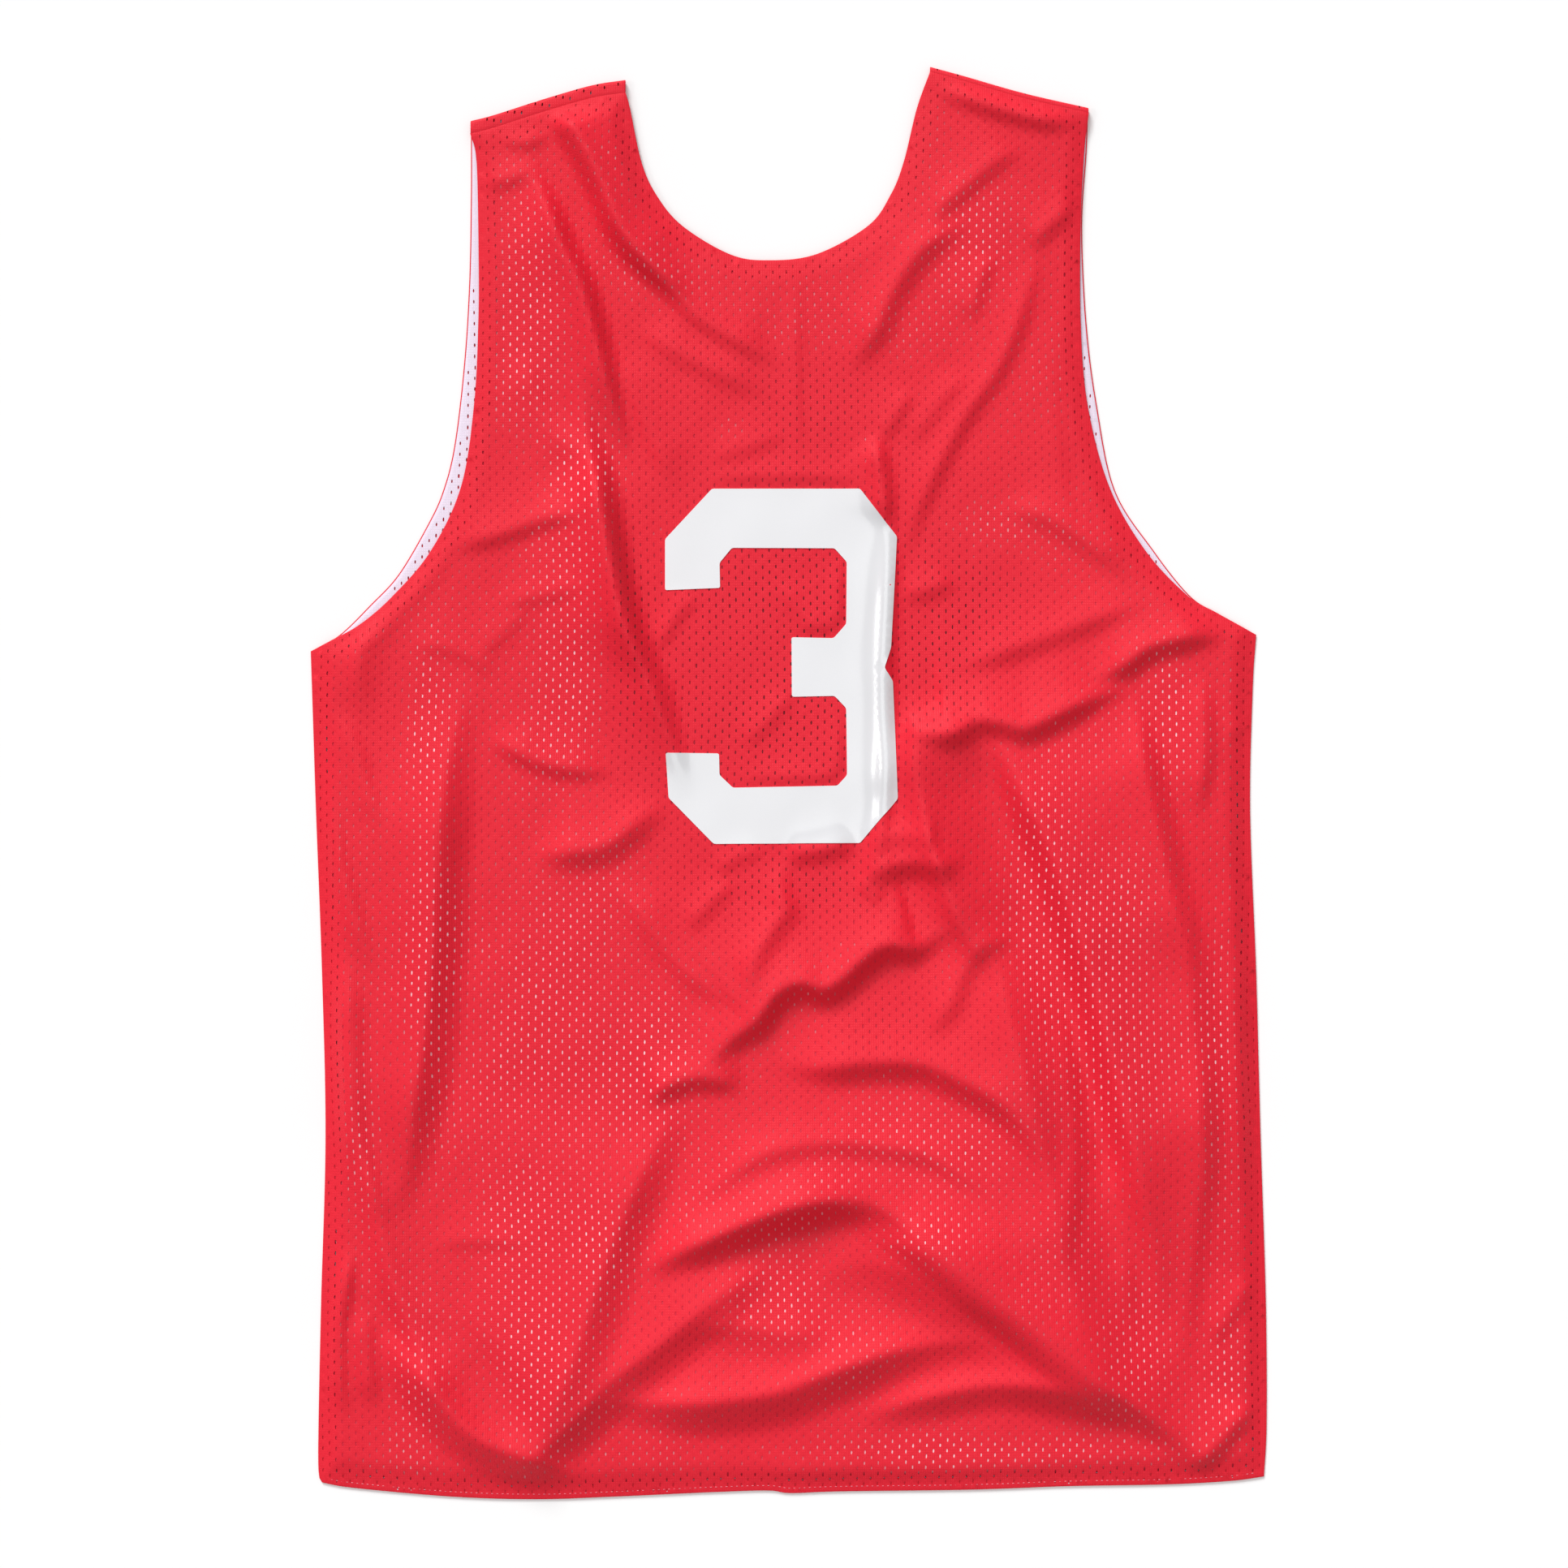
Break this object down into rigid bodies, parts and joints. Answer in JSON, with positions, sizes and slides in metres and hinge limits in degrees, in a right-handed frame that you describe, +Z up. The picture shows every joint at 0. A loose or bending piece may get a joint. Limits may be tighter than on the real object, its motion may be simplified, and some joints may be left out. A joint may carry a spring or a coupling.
{
  "type": "practice jersey",
  "caption": "Sleeveless reversible practice jersey of net cloth, scoop neck and deep armholes, lying flat with its back upwards and softly creased.",
  "frame": {"origin": "middle of the jersey's box in plan, on the surface that it lies on", "axes": "+Y from the hem towards the shoulders, +Z up out of the back, +X to the right as the picture shows it"},
  "size_m": [0.5494, 0.8231, 0.0147],
  "materials": {
    "red_net": "knitted polyester net, soft sheen",
    "white_net": "knitted polyester net, matt",
    "numeral_film": "pressed film, satin"
  },
  "bodies": {
    "root": {"front_panel": "red_net", "front_lining": "white_net", "back_lining": "white_net", "back_panel": "red_net"}
  },
  "joints": []
}
